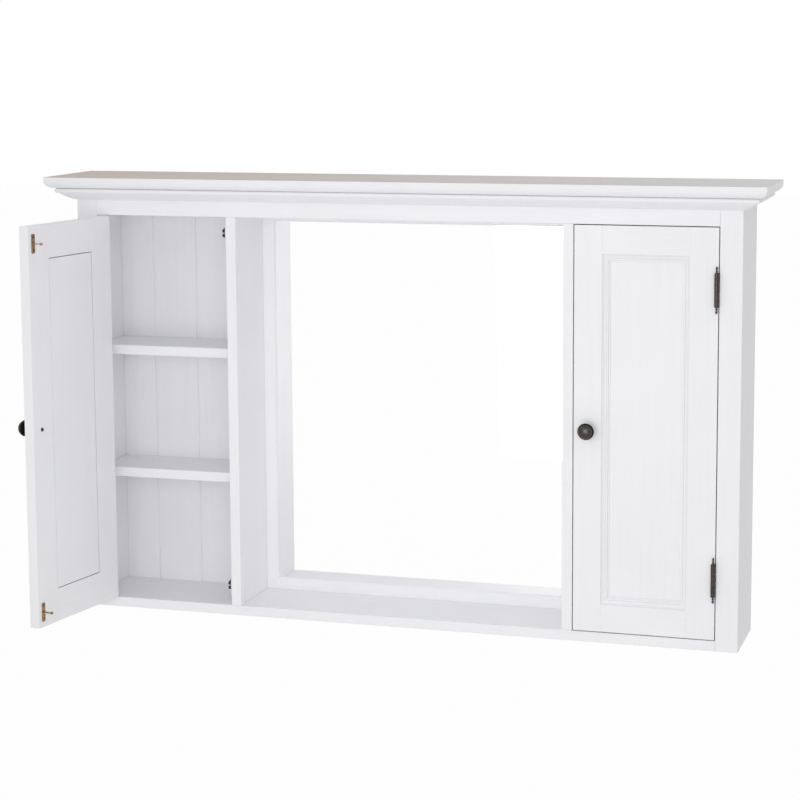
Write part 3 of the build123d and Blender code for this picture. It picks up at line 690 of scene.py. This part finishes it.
@dataclass
class Case:
    """The fixed joinery: which board carries which finish."""

    upright: tuple[str, ...] = (
        "side_panel_left", "side_panel_right", "partition_left", "partition_right",
        "stile_left", "stile_right", "back_boards_left", "back_boards_right",
        "mirror_frame_stiles", "catch_blocks",
    )
    along: tuple[str, ...] = (
        "floor_board", "ceiling_board", "back_rail", "top_rail", "hanging_battens",
        "mirror_frame_rails", "shelf_lower_left", "shelf_upper_left",
        "shelf_lower_right", "shelf_upper_right",
    )
    topped: tuple[str, ...] = ("top_board", "crown_front")
    returns: tuple[str, ...] = ("crown_return_left", "crown_return_right")

    def build(self) -> None:
        """Dresses the case's CAD nodes."""
        upright = PaintedWood("painted_wood_upright").build()
        along = PaintedWood("painted_wood_along", Grain.ALONG).build()
        topped = PaintedWood("painted_wood_crown", Grain.ALONG, dusty_top_with_painted_light=True).build()
        returned = PaintedWood("painted_wood_return", Grain.INTO_WALL, dusty_top_with_painted_light=True).build()
        groups = (
            (self.upright, upright), (self.along, along),
            (self.topped, topped), (self.returns, returned),
        )
        for names, material in groups:
            for name in names:
                dress(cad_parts[name], material)
                log.info("dressed %s", name)


@dataclass
class Mirror:
    """The pane, its backing and the pins behind it."""

    def build(self) -> None:
        """Dresses the mirror's CAD nodes."""
        dress(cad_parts["mirror_glass"], SilveredGlass().build())
        dress(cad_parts["mirror_backing"], Hardboard().build())
        dress(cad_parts["mirror_pins"], ZINC.build())
        log.info("dressed the mirror")


@dataclass
class Door:
    """One panel door with its knob, strikes and moving hinge leaves."""

    side: Side
    metals: dict[str, bpy.types.Material] = field(default_factory=dict)

    def build(self) -> None:
        """Dresses the door's CAD nodes."""
        word = self.side.value[0]
        turn = LEFT_DOOR_TURN if self.side is Side.LEFT else 0.0
        upright = PaintedWood(f"painted_door_{word}_upright", raw_back=False, turn=turn).build()
        across = PaintedWood(
            f"painted_door_{word}_across", Grain.ALONG, raw_back=False, turn=turn
        ).build()
        finishes = {
            "hinge_stile": upright, "knob_stile": upright, "panel": upright, "moulding": upright,
            "top_rail": across, "bottom_rail": across, **self.metals,
        }
        for part, material in finishes.items():
            dress(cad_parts[f"door_{word}_{part}"], material)
            log.info("dressed door_%s_%s", word, part)


@dataclass
class Hinges:
    """The four hinges' pins with their turned finials, and the fixed leaves."""

    levels: tuple[float, ...] = (740.0 - ORIGIN_RISE, 148.0 - ORIGIN_RISE)
    half_barrel: float = 33.8
    pin: float = 2.0

    def profile(self) -> list[tuple[float, float]]:
        """Draws the pin's outline from its lower tip to its upper tip.

        Returns:
            Radius and height of each point, in millimetres.
        """
        half = self.half_barrel
        upper = [
            (self.pin, half + 0.15), (3.4, half + 0.15), (3.4, half + 0.8), (2.9, half + 1.2),
            (1.7, half + 1.9), (1.3, half + 2.7), (1.6, half + 3.3), (2.2, half + 3.9),
            (2.25, half + 4.6), (2.2, half + 5.2), (1.5, half + 6.0), (1.2, half + 6.7),
            (1.35, half + 7.4), (1.9, half + 8.2), (2.25, half + 9.2), (2.3, half + 10.2),
            (2.1, half + 11.4), (1.6, half + 12.5), (0.95, half + 13.4), (0.0, half + 13.9),
        ]
        return [(r, -h) for r, h in reversed(upper)] + upper

    def build(self, bronze: bpy.types.Material) -> None:
        """Spins the pins and dresses the fixed leaves.

        Args:
            bronze: the finish of pins and leaves.
        """
        dress(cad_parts["hinge_frame_leaves"], bronze)
        made = []
        for side in Side:
            word, sign = side.value
            for place, level in zip(("upper", "lower"), self.levels):
                centre = Vector((-sign * HINGE_X, HINGE_Y, level))
                shape = lathe(self.profile(), centre, UP)
                pin = finished(f"hinge_pin_{word}_{place}", shape, bronze)
                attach(pin, "case")
                made.append(pin)
                log.info("built %s", pin.name)
        for pin in made:
            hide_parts("hinge_pins")


@dataclass
class Knobs:
    """The two turned knobs: rose, waist, rim, groove and a low polished dome; waist, rim and groove
    carry a painted dark reflection.
    """

    from_middle: float = 410.0
    left_level: float = 440.5 - ORIGIN_RISE
    right_level: float = 445.0 - ORIGIN_RISE
    face_y: float = -187.0
    back_face: float = 22.0
    dark_from: float = 2.7
    dark_to: float = 25.9
    recess_from: float = 2.3
    recess_depth: float = 0.7

    def profile(self) -> list[tuple[float, float]]:
        """Draws the knob's outline from its rose to the top of its dome.

        Returns:
            Radius and height of each point, in millimetres.
        """
        angles = [math.radians(degrees) for degrees in range(10, 90, 10)]
        dome = [(14.4 * math.cos(a), 26.3 + 7.6 * math.sin(a)) for a in angles]
        return [
            (0.0, 0.05), (8.7, 0.05), (9.0, 0.4), (9.0, 2.1), (8.6, 2.6), (6.6, 3.6), (5.5, 5.4),
            (5.2, 8.0), (5.6, 10.6), (7.4, 13.6), (10.6, 16.6), (14.2, 18.7), (16.2, 19.6),
            (17.0, 20.7), (17.2, 21.8), (17.0, 22.9), (16.2, 23.8), (15.4, 24.1), (14.9, 24.4),
            (14.6, 24.9), (14.6, 25.8), *dome, (0.0, 33.95),
        ]

    def screw_head(self) -> list[tuple[float, float]]:
        """Draws the pan head of the screw on the door's back.

        Returns:
            Radius and height of each point, in millimetres.
        """
        return [
            (0.0, 0.0), (3.95, 0.0), (3.95, 1.1), (3.6, 1.8), (2.8, 2.25), (1.6, 2.38),
            (0.0, 2.38),
        ]

    def build(
        self, dome: bpy.types.Material, rim: bpy.types.Material, screw: bpy.types.Material
    ) -> None:
        """Spins both knobs and their screws and sets them on their doors.

        Args:
            dome: the finish of rose and dome.
            rim: the finish of the waist, the rim and the groove, near-black as a painted dark
                reflection.
            screw: the finish of the screw on the door's back.
        """
        out = Vector((0.0, -1.0, 0.0))
        for side in Side:
            word, sign = side.value
            level = self.left_level if side is Side.LEFT else self.right_level
            swing = door_swing(side)
            front = Vector((-sign * self.from_middle, self.face_y, level))
            back = front + Vector((0.0, self.back_face, 0.0))
            turned = lathe(self.profile(), front, out, steps=64)
            head = lathe(self.screw_head(), back, -out, steps=32)
            self._recess(head, back)
            for shape in (turned, head):
                bmesh.ops.transform(shape, matrix=swing, verts=shape.verts)
            knob = finished(f"knob_{word}", turned, dome)
            knob.data.materials.append(rim)
            far = swing @ (front * MM)
            # Faces between dark_from and dark_to take the near-black finish, a painted dark
            # reflection.
            for face in knob.data.polygons:
                reach = (face.center - far).dot(swing.to_3x3() @ out) / MM
                face.material_index = 1 if self.dark_from < reach < self.dark_to else 0
            bolt = finished(f"knob_screw_{word}", head, screw)
            for piece in (knob, bolt):
                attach(piece, f"door_{word}")
            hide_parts(f"door_{word}_knob")
            log.info("built %s and its screw", knob.name)

    def _recess(self, head: bmesh.types.BMesh, back: Vector) -> None:
        """Sinks the driver recess by pushing the crown's middle in.

        Args:
            head: the screw head, before its door swings.
            back: where it stands on the door's back, in millimetres.
        """
        crown = [v for v in head.verts if v.co.y / MM > back.y + self.recess_from]
        bmesh.ops.translate(head, verts=crown, vec=(0.0, -self.recess_depth * MM, 0.0))


@dataclass
class StrikeHeads:
    """The pressed spear heads on the strikes, which part the rollers as a door shuts."""

    base_y: float = -144.9
    length: float = 5.2
    base: float = 6.4
    tip: float = 1.0
    width: float = 5.6
    softened: float = 0.3

    def build(self, brass: bpy.types.Material) -> None:
        """Makes four heads and sets them on their doors.

        Args:
            brass: their finish.
        """
        for side in Side:
            word, sign = side.value
            for place, level in CATCH_LEVELS.items():
                shape = self.head(Vector((-sign * CATCH_X, self.base_y, level)))
                bmesh.ops.transform(shape, matrix=door_swing(side), verts=shape.verts)
                piece = finished(f"strike_head_{word}_{place}", shape, brass)
                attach(piece, f"door_{word}")
                log.info("built %s", piece.name)

    def head(self, base_middle: Vector) -> bmesh.types.BMesh:
        """Makes a four-sided head that narrows to its tip, with softened edges.

        Args:
            base_middle: the middle of its base on a shut door, in millimetres.

        Returns:
            The head, in metres.
        """
        mesh = bmesh.new()
        corner = math.sqrt(2) / 2
        bmesh.ops.create_cone(
            mesh,
            cap_ends=True,
            segments=4,
            radius1=self.base * corner * MM,
            radius2=self.tip * corner * MM,
            depth=self.length * MM,
        )
        bmesh.ops.rotate(mesh, verts=mesh.verts, matrix=Matrix.Rotation(math.pi / 4, 3, "Z"))
        bmesh.ops.scale(mesh, verts=mesh.verts, vec=(self.width / self.base, 1.0, 1.0))
        bmesh.ops.bevel(
            mesh,
            geom=mesh.edges,
            offset=self.softened * MM,
            offset_type="OFFSET",
            affect="EDGES",
            segments=2,
            profile=0.5,
            material=-1,
        )
        ahead = Matrix.Rotation(-math.pi / 2, 4, "X")
        middle = base_middle + Vector((0.0, self.length / 2, 0.0))
        bmesh.ops.transform(mesh, matrix=Matrix.Translation(middle * MM) @ ahead, verts=mesh.verts)
        return mesh


@dataclass
class RollerCatches:
    """Four double roller catches: bodies, and eight arms with roller, axle and coil spring."""

    roller_y: float = -149.0
    pivot_y: float = -129.0
    roller_rise: float = 4.75
    pivot_rise: float = 10.0
    roller_radius: float = 3.75
    roller_length: float = 5.4
    cheek_gap: float = 0.15
    cheek: float = 0.8
    cheek_radius: float = 2.9
    axle_radius: float = 1.2
    wire: float = 0.7
    coils: int = 5
    coil_steps: int = 20
    coil_radius: float = 2.5
    coil_clearance: float = 0.25
    arc_steps: int = 12
    bridge_place: float = 0.62
    bridge_lift: float = 1.4
    bridge_length: float = 7.0
    bridge_thickness: float = 1.0

    def build(
        self, zinc: bpy.types.Material, steel: bpy.types.Material, nylon: bpy.types.Material
    ) -> None:
        """Builds every arm and dresses the bodies.

        Args:
            zinc: the finish of arms and bodies.
            steel: the finish of axles and springs.
            nylon: the finish of the rollers.
        """
        dress(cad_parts["catch_bodies"], zinc)
        for side in Side:
            word, sign = side.value
            for place, level in CATCH_LEVELS.items():
                for hand, lift in (("top", 1), ("bottom", -1)):
                    key = f"{word}_{place}_{hand}"
                    x = -sign * CATCH_X
                    roller = Vector((x, self.roller_y, level + lift * self.roller_rise))
                    pivot = Vector((x, self.pivot_y, level + lift * self.pivot_rise))
                    pieces = (
                        (self.lever(roller, pivot), "lever", zinc),
                        (self.roller(roller), "roller", nylon),
                        (self.axle(roller), "axle", steel),
                        (self.spring(pivot), "spring", steel),
                    )
                    for shape, part, material in pieces:
                        piece = finished(f"catch_{part}_{key}", shape, material)
                        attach(piece, f"arm_{key}")
                        if part == "lever":
                            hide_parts(f"catch_arm_{key}")
                        log.info("built %s", piece.name)

    def half_inside(self) -> float:
        """Measures from an arm's middle to a cheek's inner face.

        Returns:
            Half the clear width, in millimetres.
        """
        return self.roller_length / 2 + self.cheek_gap

    def lever(self, roller: Vector, pivot: Vector) -> bmesh.types.BMesh:
        """Makes two rounded cheeks joined by a bridge.

        Args:
            roller: the roller's centre, in millimetres.
            pivot: the pivot's centre, in millimetres.

        Returns:
            The lever, in metres.
        """
        mesh = bmesh.new()
        run = pivot - roller
        slope = math.atan2(run.z, run.y)
        for side in (-1, 1):
            x = roller.x + side * (self.half_inside() + self.cheek / 2)
            outline = []
            for centre, start in ((roller, 1), (pivot, -1)):
                for step in range(self.arc_steps + 1):
                    lean = slope + start * math.pi / 2 + math.pi * step / self.arc_steps
                    reach = Vector((0.0, math.cos(lean), math.sin(lean))) * self.cheek_radius
                    outline.append(Vector((x, centre.y, centre.z)) + reach)
            verts = [mesh.verts.new(p * MM) for p in outline]
            face = mesh.faces.new(verts)
            grown = bmesh.ops.extrude_face_region(mesh, geom=[face])
            lifted = [v for v in grown["geom"] if isinstance(v, bmesh.types.BMVert)]
            bmesh.ops.translate(mesh, verts=lifted, vec=(self.cheek / 2 * MM, 0, 0))
            bmesh.ops.translate(mesh, verts=verts, vec=(-self.cheek / 2 * MM, 0, 0))
        middle = roller.lerp(pivot, self.bridge_place)
        lift = 1 if run.z > 0 else -1
        bridge = bmesh.ops.create_cube(mesh, size=1.0)["verts"]
        width = 2 * (self.half_inside() + self.cheek)
        seat = Vector((roller.x, middle.y, middle.z + lift * self.bridge_lift)) * MM
        place = Matrix.Translation(seat) @ Matrix.Rotation(slope, 4, "X")
        size = Vector((width, self.bridge_length, self.bridge_thickness)) * MM
        bmesh.ops.transform(mesh, matrix=place @ Matrix.Diagonal((*size, 1.0)), verts=bridge)
        return mesh

    def roller(self, centre: Vector) -> bmesh.types.BMesh:
        """Makes a nylon roller with softened rims and sunk hubs.

        Args:
            centre: its centre, in millimetres.

        Returns:
            The shape, in metres.
        """
        half = self.roller_length / 2
        full = self.roller_radius
        right = [
            (0.0, half - 0.5), (1.9, half - 0.5), (2.1, half), (full - 0.5, half),
            (full - 0.15, half - 0.15), (full, half - 0.5), (full, 0.0),
        ]
        profile = [(r, -h) for r, h in right] + [(r, h) for r, h in reversed(right[:-1])]
        return lathe(profile, centre, ACROSS)

    def axle(self, centre: Vector) -> bmesh.types.BMesh:
        """Makes an axle with riveted heads outside the cheeks.

        Args:
            centre: its centre, in millimetres.

        Returns:
            The shape, in metres.
        """
        half = self.half_inside() + self.cheek
        full = self.axle_radius
        right = [(0.0, half + 0.25), (full * 0.7, half + 0.2), (full, half), (full, 0.0)]
        profile = [(r, -h) for r, h in right] + [(r, h) for r, h in reversed(right[:-1])]
        return lathe(profile, centre, ACROSS, steps=24)

    def spring(self, centre: Vector) -> bmesh.types.BMesh:
        """Winds a coil of round wire about the pivot.

        Args:
            centre: its centre, in millimetres.

        Returns:
            The shape, in metres.
        """
        mesh = bmesh.new()
        half = self.half_inside() - self.coil_clearance - self.wire / 2
        radius = self.coil_radius - self.wire / 2
        ring = bmesh.ops.create_circle(
            mesh, cap_ends=False, radius=self.wire / 2 * MM, segments=10
        )["verts"]
        start = Matrix.Translation(Vector((centre.x - half, centre.y, centre.z + radius)) * MM)
        upright = Matrix.Rotation(math.pi / 2, 4, "Y") @ Matrix.Rotation(math.pi / 2, 4, "X")
        bmesh.ops.transform(mesh, matrix=start @ upright, verts=ring)
        edges = list({e for v in ring for e in v.link_edges})
        steps = self.coils * self.coil_steps
        bmesh.ops.spin(
            mesh,
            geom=ring + edges,
            cent=centre * MM,
            axis=(1.0, 0.0, 0.0),
            dvec=(2 * half / steps * MM, 0.0, 0.0),
            angle=self.coils * 2 * math.pi,
            steps=steps,
            use_merge=False,
        )
        bmesh.ops.holes_fill(mesh, edges=[e for e in mesh.edges if e.is_boundary], sides=0)
        return mesh


@dataclass
class Studio:
    """The camera as in the photograph, a white room and soft lamps."""

    eye: tuple[float, float, float] = (1351.9, -4508.4, 326.0)
    yaw: float = 17.26
    pitch: float = 7.61
    roll: float = -0.37
    lens: float = 98.44
    shift: float = -0.0872
    floor_level: float = -2150.0
    floor_reach: float = 30000.0
    floor_glow: float = 0.97
    fill: float = 0.64
    film: float = 36.0
    softboxes: tuple[tuple, ...] = (
        ("key_softbox", (250.0, -2450.0, -330.0), (-50.0, -100.0, -460.0), 1500.0, 15.5),
        ("window_left", (-1500.0, -2300.0, 1500.0), (0.0, -250.0, -470.0), 180.0, 1.3),
        ("window_right", (1900.0, -2500.0, 1500.0), (500.0, -250.0, -470.0), 180.0, 1.3),
    )

    def build(self) -> None:
        """Makes camera, world, floor and lamps."""
        self.camera()
        self.world()
        self.floor()
        for softbox in self.softboxes:
            self.lamp(*softbox)

    def camera(self) -> None:
        """Makes the camera from its eye point and its three turns."""
        data = bpy.data.cameras.new("camera")
        data.sensor_width = self.film
        data.lens = self.lens
        data.shift_y = self.shift
        data.clip_end = 100.0
        camera = bpy.data.objects.new("camera", data)
        yaw, pitch, roll = (math.radians(v) for v in (self.yaw, self.pitch, self.roll))
        level = math.cos(pitch)
        ahead = Vector((-math.sin(yaw) * level, math.cos(yaw) * level, -math.sin(pitch)))
        across = Vector((math.cos(yaw), math.sin(yaw), 0.0))
        up = across.cross(ahead)
        right = math.cos(roll) * across + math.sin(roll) * up
        above = -math.sin(roll) * across + math.cos(roll) * up
        turn = Matrix((right, above, -ahead)).transposed().to_4x4()
        camera.matrix_world = Matrix.Translation(Vector(self.eye) * MM) @ turn
        bpy.context.collection.objects.link(camera)
        bpy.context.scene.camera = camera
        bpy.context.scene.view_settings.view_transform = "Standard"

    def seen(self, tree: bpy.types.NodeTree) -> bpy.types.NodeSocket:
        """Tells the rays that show the background from those that light the cabinet.

        Args:
            tree: the node tree.

        Returns:
            One for rays from the camera, in gloss and through glass, and else zero.
        """
        path = node(tree, "ShaderNodeLightPath")
        first = node(
            tree,
            "ShaderNodeMath",
            settings={"operation": "MAXIMUM"},
            links={0: path.outputs["Is Camera Ray"], 1: path.outputs["Is Glossy Ray"]},
        )
        return node(
            tree,
            "ShaderNodeMath",
            settings={"operation": "MAXIMUM"},
            links={0: first.outputs[0], 1: path.outputs["Is Transmission Ray"]},
        ).outputs[0]

    def world(self) -> None:
        """A white surround that lights softly from all sides."""
        world = bpy.data.worlds.new("white_room")
        world.use_nodes = True
        tree = world.node_tree
        tree.nodes.clear()
        strength = ranged(tree, self.seen(tree), (0.0, 1.0), (self.fill, 1.0))
        light = node(
            tree,
            "ShaderNodeBackground",
            values={"Color": rgb("#ffffff")},
            links={"Strength": strength},
        )
        output = node(tree, "ShaderNodeOutputWorld")
        tree.links.new(light.outputs[0], output.inputs["Surface"])
        bpy.context.scene.world = world

    def floor(self) -> None:
        """A pale floor well below the hung cabinet."""
        mesh = bmesh.new()
        bmesh.ops.create_grid(mesh, x_segments=1, y_segments=1, size=self.floor_reach * MM)
        bmesh.ops.translate(mesh, verts=mesh.verts, vec=(0.0, 0.0, self.floor_level * MM))
        material, tree, output = fresh_material("pale_floor")
        paper = node(tree, "ShaderNodeBsdfDiffuse", values={"Color": rgb("#f8f8f8")})
        white = node(tree, "ShaderNodeEmission", values={"Color": rgb("#ffffff"), "Strength": 1.0})
        share = node(
            tree,
            "ShaderNodeMath",
            settings={"operation": "MULTIPLY"},
            values={1: self.floor_glow},
            links={0: self.seen(tree)},
        )
        mixed = node(
            tree,
            "ShaderNodeMixShader",
            links={0: share.outputs[0], 1: paper.outputs[0], 2: white.outputs[0]},
        )
        tree.links.new(mixed.outputs[0], output.inputs["Surface"])
        floor = finished("floor", mesh, material, None)

    def lamp(self, name: str, place: tuple, aim: tuple, size: float, power: float) -> None:
        """Adds a square softbox.

        Args:
            name: the lamp's name.
            place: where it stands, in millimetres.
            aim: the point it faces.
            size: its side.
            power: its power in watts.
        """
        data = bpy.data.lights.new(name, "AREA")
        data.shape = "SQUARE"
        data.size = size * MM
        data.energy = power
        lamp = bpy.data.objects.new(name, data)
        lamp.location = Vector(place) * MM
        lamp.rotation_euler = (Vector(aim) - Vector(place)).to_track_quat("-Z", "Y").to_euler()
        bpy.context.collection.objects.link(lamp)


def main() -> None:
    """Builds and dresses the cabinet, then the studio."""
    logging.basicConfig(level=logging.INFO, format="%(name)s: %(message)s")
    bronze, brass, zinc = BRONZE.build(), BRASS.build(), ZINC.build()
    steel, screw, nylon = SPRING_STEEL.build(), SCREW_STEEL.build(), BlackNylon().build()
    Case().build()
    Mirror().build()
    dress(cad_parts["case_screws"], screw)
    metals = {"hinge_leaves": bronze, "strikes": brass, "screws": screw}
    for side in Side:
        Door(side, metals).build()
    Hinges().build(bronze)
    Knobs().build(DOME.build(), DARK_REFLECTION_RIM.build(), screw)
    StrikeHeads().build(brass)
    RollerCatches().build(zinc, steel, nylon)
    Studio().build()


if __name__ == "__main__":
    main()
